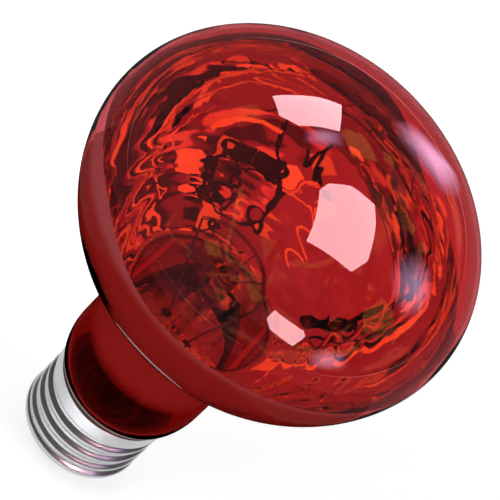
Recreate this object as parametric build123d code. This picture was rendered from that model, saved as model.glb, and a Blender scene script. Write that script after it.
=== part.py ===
from build123d import *
import math
import os

# Red reflector lamp with a screw cap. Millimetres, +Z along the lamp's axis from the cap to the face.
# Z = 0 is the tip of the centre contact. -Y is the side that the photograph looks at.

# Bulb
globe_r = 40.0  # widest radius of the glass
face_depth = 27.0  # widest plane up to the front pole
bowl_depth = 34.0  # widest plane down to the pole of the rear bowl's curve
bowl_power = 1.85  # superellipse power of the rear bowl, 2 would be an ellipse
neck_over = 2.25  # the neck's radius beyond the cap's
neck_blend = 2.6  # hollow round where the bowl runs into the neck
wall = 0.8  # glass wall
equator_above_rim = 63.8
shoulder_above_rim = 8.65  # where the neck starts to round in
shoulder_height = 9.15
seal_depth = 7.2  # the tail's end below the cap's rim
tail_room = 0.9  # between the tail and the thread roots' inside
curve_steps = 8  # spans of each drawn curve of the glass

# Screw cap
cap_height = 27.0  # contact tip up to the rim
cap_r = 13.15  # skirt and lower roll
crest_drop = 0.1  # thread crests inside the skirt's radius
thread_depth = 0.85
sheet = 0.3  # rolled sheet of the shell
pitch = 3.629
skirt_height = 3.5
skirt_slope = 1.0
bend_share = 0.4  # the sheet's inner bend stands this share of its thickness higher
ridge_half_width = 1.35
ridge_bury = 0.8  # how deep the ridge is sunk in the block it is joined to
ridge_start_z = 10.29
ridge_end_z = 23.9  # runs out in the skirt
roll_z = 10.8  # widest plane of the lower roll
roll_drop = 2.2  # the roll's lower end under that plane
lip_width = 2.15  # from the skirt's radius in to the hole in the shell's bottom
roll_rise = 1.4  # roll's widest plane up to the first root
shell_overrun = 1.0  # how far the block that hollows the shell runs on past its ends

# Insulator and contact
insulator_hole_r = 0.9
insulator_lip = 0.3
insulator_mid_share = 0.47  # height of its waist between the contact plate and the shell's lip
plate_ledge = 0.6  # flat ring of the insulator round the plate
plate_r = 5.5
plate_edge_z = 2.6
plate_sag = 1.0  # how far the plate's middle stands below its edge
plate_sheet = 0.35
solder_r = 2.4
solder_flat_r = 1.0
solder_bed = 0.2  # how far the solder's dome runs up into the plate
solder_plug_rise = 1.2

# Stem
stem_tube_r = 5.0
stem_wall = 0.9
flare_lip = 0.8  # how far the flare's lip hangs under the tail
flare_inner_r = 6.4
flare_inner_rise = 2.0
flare_outer_r = 7.2
flare_outer_rise = 3.0
flare_top_z = 28.5
tube_top_z = 35.0
pinch_z = 40.0
pinch_top_z = 48.4
pinch_width = 10.6
pinch_thickness = 3.6
pinch_round = 1.2
exhaust_r = 2.0
exhaust_bore_r = 1.2
exhaust_tip_z = 12.6
exhaust_round = 3.0  # height of the tube's rounded tip
exhaust_vent_z = 36.7
exhaust_vent_r = 0.6
cane_r = 1.4
cane_root = 2.0  # how deep the cane is melted into the pinch
bead_rise = 4.0  # where the cane starts to swell under the bead
bead_r = 2.2
head_r = 2.5
bead_z = 61.5
waist_r = 1.8
waist_z = 64.6
head_z = 68.4
head_top_z = 71.2

# Heat shield
shield_gap = 3.6  # ring between the disc and the neck's inside
shield_sheet = 0.3
shield_fit = 0.1  # round the cane
shield_hole_r = 1.1  # clear round each lead
shield_cut = 2.0  # height of the tools that pierce the disc

# Leads, supports and filament
lead_r = 0.25
lead_foot_r = 3.75
lead_turn = -20.0  # turn of the lead pair about Z, in degrees
lead_bend = 0.6
lead_bend_rise = 1.6  # the leads' first bend above the pinch
side_lead_drop_z = 30.0
side_lead_swing = (-1.2, 6.2)  # where the side lead passes under the flare
side_lead_low = 2.0  # its lowest run under the tail's end
side_lead_bend_low = 3.6  # under the rim
side_lead_bend_high = 2.2
centre_lead_drop_z = 14.5
centre_lead_axis_z = 11.6
centre_lead_end_z = 0.8
side_tip = (-11.3, 2.5, 73.8)
centre_tip = (8.1, -5.2, 73.8)
filament_mid = (0.9, 4.6, 75.0)
filament_r = 0.45  # outside of the coil
support_r = 0.15
support_root = 1.0  # from the head's middle to the wire's buried end
support_shares = {"a": 0.25, "b": 0.5, "c": 0.75}

# Side solder: joins the side lead to the rim, on the side away from the photograph
side_solder_r = 1.5
side_solder_inset = 0.65  # its middle inside the skirt's radius
side_solder_drop = 0.3  # under the rim
side_lead_rim_inset = 0.3  # from the skirt's inside
side_lead_stop = 0.15  # the wire ends this far under the rim
cement_drop = 0.4  # the cement's top under the rim

neck_r = cap_r + neck_over
shield_r = neck_r - wall - shield_gap
crest_r = cap_r - crest_drop
root_r = crest_r - thread_depth
lip_r = cap_r - lip_width
seal_r = root_r - sheet - tail_room  # outside of the glass tail inside the cap
side_lead_gap_r = root_r - sheet - tail_room / 2
side_lead_rim_r = cap_r - sheet - side_lead_rim_inset
rim_z = cap_height
equator_z = rim_z + equator_above_rim
shoulder_z = rim_z + shoulder_above_rim
seal_z = rim_z - seal_depth
turn_about_z = Rot(0, 0, lead_turn)


def turned(edges):
    """Solid of revolution about Z from edges drawn as (radius, height)."""
    return revolve(Plane.XZ * make_face(edges), Axis.Z)


def quarter(centre, x_radius, y_radius, start):
    """A quarter of an ellipse, anticlockwise from the angle start."""
    return EllipticalCenterArc(centre, x_radius, y_radius, start, arc_size=90)


def bulb_edges(inset):
    """One glass surface from the front pole to the tail's end, drawn inset under the outer one."""
    radius = globe_r - inset
    depth = bowl_depth - inset
    stop = math.acos(((neck_r - inset) / radius) ** (bowl_power / 2))
    points = []
    for step in range(curve_steps + 1):
        angle = stop * step / curve_steps
        r = radius * math.cos(angle) ** (2 / bowl_power)
        z = equator_z - depth * math.sin(angle) ** (2 / bowl_power)
        points.append((r, z))
    foot = shoulder_z - shoulder_height + inset
    face = []
    for step in range(curve_steps + 1):
        angle = math.pi / 2 * step / curve_steps
        face.append((radius * math.cos(angle), equator_z + (face_depth - inset) * math.sin(angle)))
    face[-1] = (0, equator_z + face_depth - inset)
    return [
        Spline(*face, tangents=((0, 1), (-1, 0))),
        Spline(*points),
        Line(points[-1], (neck_r - inset, shoulder_z)),
        quarter((seal_r - inset, shoulder_z), neck_r - seal_r, shoulder_z - foot, 270),
        Line((seal_r - inset, foot), (seal_r - inset, seal_z)),
    ]


def near(shape, r, z, reach):
    """Vertices of a flat outline close to (radius, height)."""
    return [v for v in shape.vertices() if math.hypot(v.X - r, v.Y - z) < reach]


def wire(points, radius, bend=0):
    """Round wire along a path, with its corners bent to a radius."""
    path = FilletPolyline(*points, radius=bend) if bend else Polyline(*points)
    section = Plane(origin=path @ 0, z_dir=path % 0) * Circle(radius)
    return sweep(section, path)


# Bulb: one blown piece
outer = bulb_edges(0)
inner = bulb_edges(wall)
top = Line((0, equator_z + face_depth - wall), (0, equator_z + face_depth))
end = Line((seal_r - wall, seal_z), (seal_r, seal_z))
outline = Sketch() + make_face([*outer, *inner, top, end])
outer_join = outer[1] @ 1
inner_join = inner[1] @ 1
outline = fillet(near(outline, outer_join.X, outer_join.Y, wall / 4), neck_blend)
outline = fillet(near(outline, inner_join.X, inner_join.Y, wall / 4), neck_blend + wall)
glass_bulb = revolve(Plane.XZ * outline, Axis.Z)

# Stem: flare, exhaust tube, pinch and cane, melted into one piece
flare_foot_r = seal_r - wall
flare = turned(
    [
        Line((flare_foot_r, seal_z), (seal_r, seal_z)),
        Spline(
            (seal_r, seal_z),
            (flare_foot_r, seal_z - flare_lip),
            (flare_inner_r, seal_z + flare_inner_rise),
            (stem_tube_r - stem_wall, flare_top_z),
            tangents=((0, -1), (0, 1)),
        ),
        Line((stem_tube_r - stem_wall, flare_top_z), (stem_tube_r - stem_wall, tube_top_z)),
        Line((stem_tube_r - stem_wall, tube_top_z), (stem_tube_r, tube_top_z)),
        Line((stem_tube_r, tube_top_z), (stem_tube_r, flare_top_z)),
        Spline(
            (stem_tube_r, flare_top_z),
            (flare_outer_r, seal_z + flare_outer_rise),
            (flare_foot_r, seal_z),
            tangents=((0, -1), (1, -0.5)),
        ),
    ]
)
foot_section = Plane.XY.offset(tube_top_z) * Circle(stem_tube_r)
pinch_section = Plane.XY.offset(pinch_z) * RectangleRounded(pinch_width, pinch_thickness, pinch_round)
squeeze = turn_about_z * loft([foot_section, pinch_section])
pinch = turn_about_z * extrude(pinch_section, pinch_top_z - pinch_z)
exhaust_foot_z = exhaust_tip_z + exhaust_round
exhaust = turned(
    [
        Line((0, exhaust_tip_z), (0, tube_top_z)),
        Line((0, tube_top_z), (exhaust_r, tube_top_z)),
        Line((exhaust_r, tube_top_z), (exhaust_r, exhaust_foot_z)),
        Spline((exhaust_r, exhaust_foot_z), (0, exhaust_tip_z), tangents=((0, -1), (-1, 0))),
    ]
)
exhaust_bore = Pos(0, 0, exhaust_foot_z) * Cylinder(
    exhaust_bore_r,
    exhaust_vent_z - exhaust_foot_z,
    align=(Align.CENTER, Align.CENTER, Align.MIN),
)
vent = turn_about_z * Pos(0, 0, exhaust_vent_z - exhaust_vent_r) * Rot(90, 0, 0) * Cylinder(
    exhaust_vent_r,
    2 * stem_tube_r,
    align=(Align.CENTER, Align.CENTER, Align.MIN),
)
cane_foot_z = pinch_top_z - cane_root
cane = turned(
    [
        Line((0, cane_foot_z), (cane_r, cane_foot_z)),
        Line((cane_r, cane_foot_z), (cane_r, bead_z - bead_rise)),
        Spline(
            (cane_r, bead_z - bead_rise),
            (bead_r, bead_z),
            (waist_r, waist_z),
            (head_r, head_z),
            (0, head_top_z),
            tangents=((0, 1), (-1, 0)),
        ),
        Line((0, head_top_z), (0, cane_foot_z)),
    ]
)
glass_stem = flare + squeeze + pinch + exhaust + cane - exhaust_bore - vent

# Leads: each is one welded wire from the filament to the cap
side_foot = Vector(-lead_foot_r, 0, 0).rotate(Axis.Z, lead_turn)
centre_foot = Vector(lead_foot_r, 0, 0).rotate(Axis.Z, lead_turn)
lead_bend_z = pinch_top_z + lead_bend_rise
side_lead_low_z = seal_z - side_lead_low
side_lead = wire(
    [
        side_tip,
        (side_foot.X, side_foot.Y, lead_bend_z),
        (side_foot.X, side_foot.Y, side_lead_drop_z),
        (*side_lead_swing, side_lead_low_z),
        (0, side_lead_gap_r, side_lead_low_z),
        (0, side_lead_gap_r, rim_z - side_lead_bend_low),
        (0, side_lead_rim_r, rim_z - side_lead_bend_high),
        (0, side_lead_rim_r, rim_z - side_lead_stop),
    ],
    lead_r,
    lead_bend,
)
centre_lead = wire(
    [
        centre_tip,
        (centre_foot.X, centre_foot.Y, lead_bend_z),
        (centre_foot.X, centre_foot.Y, centre_lead_drop_z),
        (0, 0, centre_lead_axis_z),
        (0, 0, centre_lead_end_z),
    ],
    lead_r,
    lead_bend,
)

# Filament: a coil bowed between the lead tips
filament_path = ThreePointArc(side_tip, filament_mid, centre_tip)
filament_section = Plane(origin=filament_path @ 0, z_dir=filament_path % 0) * Circle(filament_r)
filament = sweep(filament_section, filament_path)
side_lead -= filament
centre_lead -= filament

# Supports: molybdenum wires from the cane's head out to the coil
head_middle = Vector(0, 0, head_z)
supports = {}
for name, share in support_shares.items():
    tip = filament_path @ share
    start = head_middle + (tip - head_middle).normalized() * support_root
    supports[name] = wire([start, tip], support_r) - filament

for held in [side_lead, centre_lead, *supports.values()]:
    glass_stem -= held

# Heat shield: rests on the pinch, round the cane
heat_shield = Pos(0, 0, pinch_top_z) * Cylinder(
    shield_r,
    shield_sheet,
    align=(Align.CENTER, Align.CENTER, Align.MIN),
)
heat_shield -= Pos(0, 0, pinch_top_z) * Cylinder(cane_r + shield_fit, shield_cut)
for foot in (side_foot, centre_foot):
    heat_shield -= Pos(foot.X, foot.Y, pinch_top_z) * Cylinder(shield_hole_r, shield_cut)


def roll_arc(inset):
    """Arc of the lower roll from its widest plane in to the lip."""
    across = cap_r - lip_r - inset
    down = roll_drop - inset
    slant = math.sqrt(0.5)
    return ThreePointArc(
        (cap_r - inset, roll_z),
        (lip_r + across * slant, roll_z - down * slant),
        (lip_r, roll_z - down),
    )


def shell_block(inset, overrun):
    """Solid block inside one surface of the shell, run on past both of the shell's ends."""
    radius = cap_r - inset
    root = root_r - inset
    skirt_foot = rim_z - skirt_height + inset * bend_share
    lip_z = roll_z - roll_drop + inset
    edges = [
        Line((0, rim_z + overrun), (radius, rim_z + overrun)),
        Line((radius, rim_z + overrun), (radius, skirt_foot)),
        Line((radius, skirt_foot), (root, skirt_foot - skirt_slope)),
        Line((root, skirt_foot - skirt_slope), (root, roll_z + roll_rise)),
        Line((root, roll_z + roll_rise), (radius, roll_z)),
        roll_arc(inset),
    ]
    if overrun:
        edges.append(Line((lip_r, lip_z), (lip_r, lip_z - overrun)))
    edges.append(Line((lip_r, lip_z - overrun), (0, lip_z - overrun)))
    edges.append(Line((0, lip_z - overrun), (0, rim_z + overrun)))
    return turned(edges)


def thread_ridge():
    """Rounded ridge wound up the shell, from the lower roll into the skirt."""
    path = Helix(pitch, ridge_end_z - ridge_start_z, root_r, center=(0, 0, ridge_start_z))
    section = make_face(
        [
            Line((-ridge_bury, -ridge_half_width), (0, -ridge_half_width)),
            ThreePointArc((0, -ridge_half_width), (crest_r - root_r, 0), (0, ridge_half_width)),
            Line((0, ridge_half_width), (-ridge_bury, ridge_half_width)),
            Line((-ridge_bury, ridge_half_width), (-ridge_bury, -ridge_half_width)),
        ]
    )
    return sweep(Plane(origin=path @ 0, x_dir=(1, 0, 0), z_dir=path % 0) * section, path, is_frenet=True)


# Shell: rolled sheet with the thread pressed in it
cap_shell = shell_block(0, 0) + thread_ridge() - shell_block(sheet, shell_overrun)

# Insulator: dark glass that fills the shell's bottom
plate_low_z = plate_edge_z - plate_sag
dish_mid = (plate_r / 2, plate_edge_z - plate_sag * 0.75)  # on a parabola
lip_z = roll_z - roll_drop
waist = ((lip_r + plate_r) / 2, plate_edge_z + (lip_z - plate_edge_z) * insulator_mid_share)
cap_insulator = turned(
    [
        roll_arc(sheet),
        Line((lip_r, lip_z + sheet), (lip_r - insulator_lip, lip_z)),
        Spline(
            (lip_r - insulator_lip, lip_z),
            waist,
            (plate_r + plate_ledge, plate_edge_z),
            tangents=((-1, -0.5), (-0.3, -1)),
        ),
        Line((plate_r + plate_ledge, plate_edge_z), (plate_r, plate_edge_z)),
        ThreePointArc((plate_r, plate_edge_z), dish_mid, (0, plate_low_z)),
        Line((0, plate_low_z), (0, roll_z)),
        Line((0, roll_z), (cap_r - sheet, roll_z)),
    ]
)
cap_insulator -= Pos(0, 0, plate_low_z - plate_sag) * Cylinder(
    insulator_hole_r,
    roll_z,
    align=(Align.CENTER, Align.CENTER, Align.MIN),
)

# Centre contact: a dished plate with a solder point in its middle
contact_plate = turned(
    [
        ThreePointArc((plate_r, plate_edge_z), dish_mid, (0, plate_low_z)),
        Line((0, plate_low_z), (0, plate_low_z - plate_sheet)),
        ThreePointArc(
            (0, plate_low_z - plate_sheet),
            (dish_mid[0], dish_mid[1] - plate_sheet),
            (plate_r, plate_edge_z - plate_sheet),
        ),
        Line((plate_r, plate_edge_z - plate_sheet), (plate_r, plate_edge_z)),
    ]
)
contact_plate -= Cylinder(insulator_hole_r, 4 * plate_edge_z)
bed_z = plate_low_z + solder_bed
solder_dome = turned(
    [
        Line((0, 0), (solder_flat_r, 0)),
        Spline((solder_flat_r, 0), (solder_r, bed_z), tangents=((1, 0), (0.2, 1))),
        Line((solder_r, bed_z), (0, bed_z)),
        Line((0, bed_z), (0, 0)),
    ]
)
solder_plug = Cylinder(
    insulator_hole_r,
    plate_low_z + solder_plug_rise,
    align=(Align.CENTER, Align.CENTER, Align.MIN),
)
contact_solder = solder_dome + solder_plug - contact_plate - cap_insulator - centre_lead

# Cement: holds the glass tail in the skirt
cap_cement = turned(
    [
        Line((seal_r, rim_z - skirt_height), (cap_r - sheet, rim_z - skirt_height)),
        Line((cap_r - sheet, rim_z - skirt_height), (cap_r - sheet, rim_z - cement_drop)),
        Line((cap_r - sheet, rim_z - cement_drop), (seal_r, rim_z - cement_drop)),
        Line((seal_r, rim_z - cement_drop), (seal_r, rim_z - skirt_height)),
    ]
)
side_solder = Pos(0, cap_r - side_solder_inset, rim_z - side_solder_drop) * Sphere(side_solder_r)
side_solder &= Pos(0, 0, rim_z) * Cylinder(cap_r, 4 * side_solder_r)
cap_cement -= glass_bulb
cap_cement -= cap_shell
cap_cement -= side_lead
for other in (cap_shell, glass_bulb, cap_cement, side_lead):
    side_solder -= other
side_solder = side_solder.solids().sort_by(SortBy.VOLUME)[-1]  # without the crumb behind the wire

pieces = {
    "glass_bulb": glass_bulb,
    "glass_stem": glass_stem,
    "heat_shield": heat_shield,
    "lead_side": side_lead,
    "lead_centre": centre_lead,
    "filament": filament,
    "support_a": supports["a"],
    "support_b": supports["b"],
    "support_c": supports["c"],
    "cap_shell": cap_shell,
    "cap_cement": cap_cement,
    "cap_insulator": cap_insulator,
    "contact_plate": contact_plate,
    "contact_solder": contact_solder,
    "side_solder": side_solder,
}
os.makedirs("parts", exist_ok=True)
for name, piece in pieces.items():
    piece.label = name
    export_step(piece, f"parts/{name}.step")
    print(name, len(piece.solids()), round(piece.volume, 1), piece.is_valid)
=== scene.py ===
"""Looks of a red reflector heat lamp with a screw cap: blown glass, mirror coating, thread and coil."""

import bisect
import math

import bpy
from bpy.props import FloatProperty, FloatVectorProperty, IntProperty, PointerProperty
from mathutils import Matrix, Vector, noise
from mathutils.bvhtree import BVHTree
from mathutils.interpolate import poly_3d_calc


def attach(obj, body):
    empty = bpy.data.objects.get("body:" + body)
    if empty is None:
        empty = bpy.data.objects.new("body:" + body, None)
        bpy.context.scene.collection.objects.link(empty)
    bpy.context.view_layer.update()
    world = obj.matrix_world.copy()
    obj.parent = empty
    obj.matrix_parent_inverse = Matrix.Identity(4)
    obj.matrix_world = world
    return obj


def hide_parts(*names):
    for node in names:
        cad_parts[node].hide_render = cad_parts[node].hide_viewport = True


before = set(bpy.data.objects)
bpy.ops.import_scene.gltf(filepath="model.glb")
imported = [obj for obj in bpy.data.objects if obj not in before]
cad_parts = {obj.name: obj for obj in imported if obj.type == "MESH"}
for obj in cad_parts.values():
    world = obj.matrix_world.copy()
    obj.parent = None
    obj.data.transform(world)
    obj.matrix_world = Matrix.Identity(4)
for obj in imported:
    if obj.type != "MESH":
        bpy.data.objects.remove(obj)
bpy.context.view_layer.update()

bl_info = {
    "name": "Reflector Heat Lamp",
    "version": (1, 0, 0),
    "blender": (4, 5, 0),
    "location": "3D View > Sidebar > Heat Lamp",
    "description": "Glass, cap, filament and studio of a red reflector heat lamp",
    "category": "Object",
}

MM = 0.001
IMAGE = 500  # pixels along each side of the photograph
ON_AXIS = 1e-7  # metres; a ring smaller than this is one vertex on the axis


def srgb(text):
    """Linear RGBA of an sRGB hex colour."""
    values = [int(text[i : i + 2], 16) / 255 for i in (1, 3, 5)]
    return (*[v / 12.92 if v <= 0.04045 else ((v + 0.055) / 1.055) ** 2.4 for v in values], 1.0)


def add(tree, kind, inputs=None, **settings):
    """Adds a node; an input that is given a socket is linked to it, any other is set."""
    node = tree.nodes.new(kind)
    for key, value in settings.items():
        setattr(node, key, value)
    for key, value in (inputs or {}).items():
        socket = node.inputs[key]
        if isinstance(value, bpy.types.NodeSocket):
            tree.links.new(value, socket)
        else:
            socket.default_value = value
    return node


def start_material(name):
    """An empty node material, and the object coordinates that its patterns use."""
    material = bpy.data.materials.new(name)
    material.use_nodes = True
    tree = material.node_tree
    tree.nodes.clear()
    where = add(tree, "ShaderNodeTexCoord").outputs["Object"]
    return material, tree, where


def end_material(tree, shader):
    """Makes a shader the material's surface."""
    add(tree, "ShaderNodeOutputMaterial", {"Surface": shader.outputs[0]})


def grain(tree, where, step, detail, stretch=(1, 1, 1)):
    """Noise from 0 to 1 with features about step millimetres across, stretched along X, Y and Z."""
    scale = [1 / (step * share * MM) for share in stretch]
    mapped = add(tree, "ShaderNodeMapping", {"Vector": where, "Scale": scale})
    settings = {"Vector": mapped.outputs["Vector"], "Scale": 1.0, "Detail": detail, "Roughness": 0.5}
    return add(tree, "ShaderNodeTexNoise", settings).outputs["Fac"]


def mottled(tree, pattern, light, dark, relief, finish, rough=None):
    """A surface whose colour and relief in millimetres follow a 0 to 1 pattern.

    Its roughness follows the pattern too if a range is given."""
    colours = {"Factor": pattern, 6: srgb(light), 7: srgb(dark)}
    shade = add(tree, "ShaderNodeMix", colours, data_type="RGBA")
    bump = add(tree, "ShaderNodeBump", {"Height": pattern, "Distance": relief * MM, "Strength": 1.0})
    inputs = {"Base Color": shade.outputs[2], "Normal": bump.outputs["Normal"], **finish}
    if rough:
        dull = add(tree, "ShaderNodeMapRange", {"Value": pattern, "To Min": rough[0], "To Max": rough[1]})
        inputs["Roughness"] = dull.outputs["Result"]
    return add(tree, "ShaderNodeBsdfPrincipled", inputs)


def new_object(name, verts, faces, materials, face_slots=None):
    """A smooth mesh object at the origin; face_slots gives each face its material."""
    mesh = bpy.data.meshes.new(name)
    mesh.from_pydata(verts, [], faces)
    for material in materials:
        mesh.materials.append(material)
    if face_slots:
        mesh.polygons.foreach_set("material_index", face_slots)
    mesh.polygons.foreach_set("use_smooth", [True] * len(mesh.polygons))
    mesh.update()
    obj = bpy.data.objects.new(name, mesh)
    bpy.context.scene.collection.objects.link(obj)
    return obj


def turned(rows, segments, closed):
    """Vertices and faces of rings about Z. A row is a function of the turn angle that gives (radius, height).

    An open shape has its first and last row on the axis; a closed one joins its last ring to its first.
    The third list says for each face which row it starts from."""
    verts = []
    rings = []
    for row in rows:
        radius, height = row(0.0)
        if radius < ON_AXIS:
            rings.append([len(verts)])
            verts.append((0.0, 0.0, height))
            continue
        ring = []
        for j in range(segments):
            turn = 2 * math.pi * j / segments
            radius, height = row(turn)
            ring.append(len(verts))
            verts.append((radius * math.cos(turn), radius * math.sin(turn), height))
        rings.append(ring)
    pairs = list(zip(rings, rings[1:]))
    if closed:
        pairs.append((rings[-1], rings[0]))
    faces = []
    owners = []
    for index, (a, b) in enumerate(pairs):
        for j in range(segments):
            k = (j + 1) % segments
            if len(a) == 1:
                faces.append((a[0], b[j], b[k]))
            elif len(b) == 1:
                faces.append((a[j], b[0], a[k]))
            else:
                faces.append((a[j], b[j], b[k], a[k]))
            owners.append(index)
    return verts, faces, owners


def between(value, start, end):
    """0 up to start, 1 from end on, and a smooth rise between them."""
    t = min(1.0, max(0.0, (value - start) / (end - start)))
    return t * t * (3 - 2 * t)


def smooth_max(a, b, k):
    """Larger of two lengths, rounded where they meet."""
    h = max(0.0, 1 - abs(a - b) / k)
    return max(a, b) + h * h * k / 4


def length(name, description, mm):
    """A length that a user can change, given in millimetres."""
    return FloatProperty(name=name, description=description, default=mm * MM, min=0.0, unit="LENGTH")


def colour(name, description, text):
    """A colour that a user can change, given as an sRGB hex value."""
    return FloatVectorProperty(
        name=name, description=description, default=srgb(text)[:3], subtype="COLOR", size=3, min=0, max=1
    )


def location(name, description, metres):
    """A place in the lamp's frame that a user can change."""
    return FloatVectorProperty(
        name=name, description=description, default=metres, subtype="TRANSLATION", size=3
    )


def number(name, description, value, **settings):
    """A value that a user can change."""
    return FloatProperty(name=name, description=description, default=value, **settings)


class GlassSizes(bpy.types.PropertyGroup):
    """Shape, coating and colours of the blown glass"""

    globe: length("Globe Radius", "Widest radius of the glass", 40.0)
    face: length("Face Depth", "Widest plane up to the front pole", 27.0)
    bowl: length("Bowl Depth", "Widest plane down to the pole of the rear curve", 34.0)
    power: number("Bowl Power", "Superellipse power of the rear bowl", 1.85, min=1.0)
    neck: length("Neck Radius", "Radius of the neck", 15.4)
    blend: length("Neck Blend", "Length that the bowl takes to turn into the neck", 1.6)
    wall: length("Wall", "Thickness of the glass", 0.8)
    equator: length("Widest Plane", "Height of the widest plane", 90.8)
    shoulder: length("Shoulder", "Height where the neck starts to round in", 35.65)
    shoulder_height: length("Shoulder Height", "Height of the rounding", 9.15)
    seal: length("Tail Radius", "Outside of the tail in the cap", 11.0)
    seal_foot: length("Tail End", "Height of the tail's end", 19.8)
    coat_top: length("Coating Top", "Upper edge of the mirror coating at the near side", 90.0)
    coat_far: length("Coating Far Rise", "How far its edge stands higher at the far side", 9.8)
    coat_left: length("Coating Left Rise", "How far its edge stands higher at the left side", 3.8)
    coat_foot: length("Coating Foot", "Where the mirror coating has faded out in the neck", 41.5)
    coat_fade: length("Coating Fade", "Height in which the coating fades in above that", 6.0)
    throat: length("Throat", "Height where the bowl runs into the neck", 60.0)
    ripple: length("Ripple", "Height of the rings in the bowl near the throat", 0.08)
    ripple_step: length("Ripple Step", "Distance between the rings", 5.0)
    wave: length("Wave", "Height of the slow unevenness of the blown wall", 0.28)
    wave_step: length("Wave Step", "Size of the slow unevenness", 19.0)
    segments: IntProperty(name="Segments", description="Faces round the bulb", default=224, min=24)
    tint: colour("Glass Tint", "What one pass through the dome's wall leaves of white light", "#DC5F65")
    streak_tint: colour("Streak Tint", "Deeper tint that its drawn-out streaks lean to", "#C94A50")
    bowl_tint: colour("Bowl Tint", "What one pass through the wall of bowl and neck leaves", "#C42A28")
    stain_fade: length("Stain Fade", "Height in which the stain deepens under the widest plane", 3.0)


class CapSizes(bpy.types.PropertyGroup):
    """Shape and colours of the screw shell"""

    rim: length("Rim", "Height of the cap's rim", 27.0)
    radius: length("Cap Radius", "Skirt and lower roll", 13.15)
    crest: length("Crest Radius", "Thread crests", 13.05)
    root: length("Root Radius", "Thread roots", 12.2)
    pitch: length("Pitch", "Rise of the thread in one turn", 3.629)
    start: length("Thread Start", "Height of the crest at the +X side before the first turn", 10.29)
    sheet: length("Sheet", "Thickness of the rolled sheet", 0.3)
    skirt: length("Skirt", "Height of the plain skirt", 3.5)
    slope: length("Skirt Slope", "Height in which the skirt comes in to the thread", 1.1)
    roll: length("Roll", "Height of the lower roll's widest plane", 10.8)
    roll_drop: length("Roll Drop", "Lower end of the roll under that plane", 2.2)
    lip: length("Lip Radius", "Edge of the hole in the shell's bottom", 11.0)
    roll_fade: length("Roll Fade", "Height in which the roll comes in to the thread", 1.5)
    ease: length("Ease", "Rounding where thread, skirt and roll run together", 0.25)
    metal: colour("Cap Metal", "Rolled aluminium", "#C9CACC")
    dulled: colour("Dulled Metal", "Darker metal that its patches lean to", "#A9AAAD")
    segments: IntProperty(name="Segments", description="Faces round the cap", default=240, min=24)


class CoilSizes(bpy.types.PropertyGroup):
    """Shape of the wound filament"""

    radius: length("Coil Radius", "Middle of the wound wire", 0.37)
    wire: length("Wire Radius", "Half of the wire's thickness", 0.07)
    step: length("Coil Step", "Distance between turns", 0.32)
    start: location("Start", "End at the side lead", (-0.0113, 0.0025, 0.0738))
    middle: location("Middle", "Middle of the bow", (0.0009, 0.0046, 0.0750))
    end: location("End", "End at the centre lead", (0.0081, -0.0052, 0.0738))


class StudioSettings(bpy.types.PropertyGroup):
    """Camera, lights and cards round the lamp"""

    tilt: number("Tilt", "Camera's height over the lamp's side", math.radians(45.0), subtype="ANGLE")
    roll: number("Roll", "Turn of the picture", math.radians(45.08), subtype="ANGLE")
    focal: number("Focal Length", "Focal length in photograph pixels", 2976.6, min=1.0)
    distance: number("Distance", "Camera to the widest plane", 0.551, min=0.1, unit="LENGTH")
    aim_left: length("Aim Left", "How far left of the axis the picture's middle lies before the roll", 0.6)
    aim_down: length("Aim Down", "How far under the widest plane's middle it lies before the roll", 8.25)
    shield: length("Shield Height", "Height of the heat shield, for the cards that it shows", 48.7)
    key: number("Key", "Power of the large lamp", 4.6, min=0.0, unit="POWER")
    fill: number("Fill", "Power of the second lamp", 2.4, min=0.0, unit="POWER")
    pane: colour("Pane Tint", "Colour of the softbox panes", "#FFC5CD")
    pane_strength: number("Pane Strength", "Brightness of the softbox panes", 17.5, min=0.0)
    glow: colour("Glow Tint", "Colour of the softer glows", "#DCB6E4")
    glow_strength: number("Glow Strength", "Brightness of the softer glows", 7.0, min=0.0)
    paper: colour("Paper", "Colour of floor and background", "#FFFFFF")


GROUPS = {
    "heat_glass": GlassSizes,
    "heat_cap": CapSizes,
    "heat_coil": CoilSizes,
    "heat_studio": StudioSettings,
}


ROUGH_SWING = 0.3  # how far a plain metal's roughness swings to each side, as a share of it
PATCHY = 2 * MM  # how far the haze shifts the height at which the mirror coating fades out


def red_glass(sizes):
    """Soda-lime glass stained red: drawn-out streaks, a deeper stain on the bowl and neck, slow waves."""
    material, tree, where = start_material("red_stained_glass")
    streak = grain(tree, where, step=14.0, detail=2.0, stretch=(1, 1, 2.5))
    share = add(tree, "ShaderNodeMapRange", {"Value": streak, "To Min": 0.0, "To Max": 0.30})
    colours = {"Factor": share.outputs["Result"], 6: (*sizes.tint, 1.0), 7: (*sizes.streak_tint, 1.0)}
    streaked = add(tree, "ShaderNodeMix", colours, data_type="RGBA").outputs[2]
    height = add(tree, "ShaderNodeSeparateXYZ", {"Vector": where}).outputs["Z"]
    deep = add(
        tree,
        "ShaderNodeMapRange",
        {"Value": height, "From Min": sizes.equator, "From Max": sizes.equator - sizes.stain_fade},
        interpolation_type="SMOOTHSTEP",
    ).outputs["Result"]
    colours = {"Factor": deep, 6: streaked, 7: (*sizes.bowl_tint, 1.0)}
    tint = add(tree, "ShaderNodeMix", colours, data_type="RGBA").outputs[2]
    waves = grain(tree, where, step=16.0, detail=1.0)
    bump = add(tree, "ShaderNodeBump", {"Height": waves, "Distance": 0.12 * MM, "Strength": 1.0})
    shader = add(
        tree,
        "ShaderNodeBsdfPrincipled",
        {
            "Base Color": tint,
            "Roughness": 0.015,
            "IOR": 1.5,
            "Transmission Weight": 1.0,
            "Normal": bump.outputs["Normal"],
        },
    )
    end_material(tree, shader)
    return material


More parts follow.
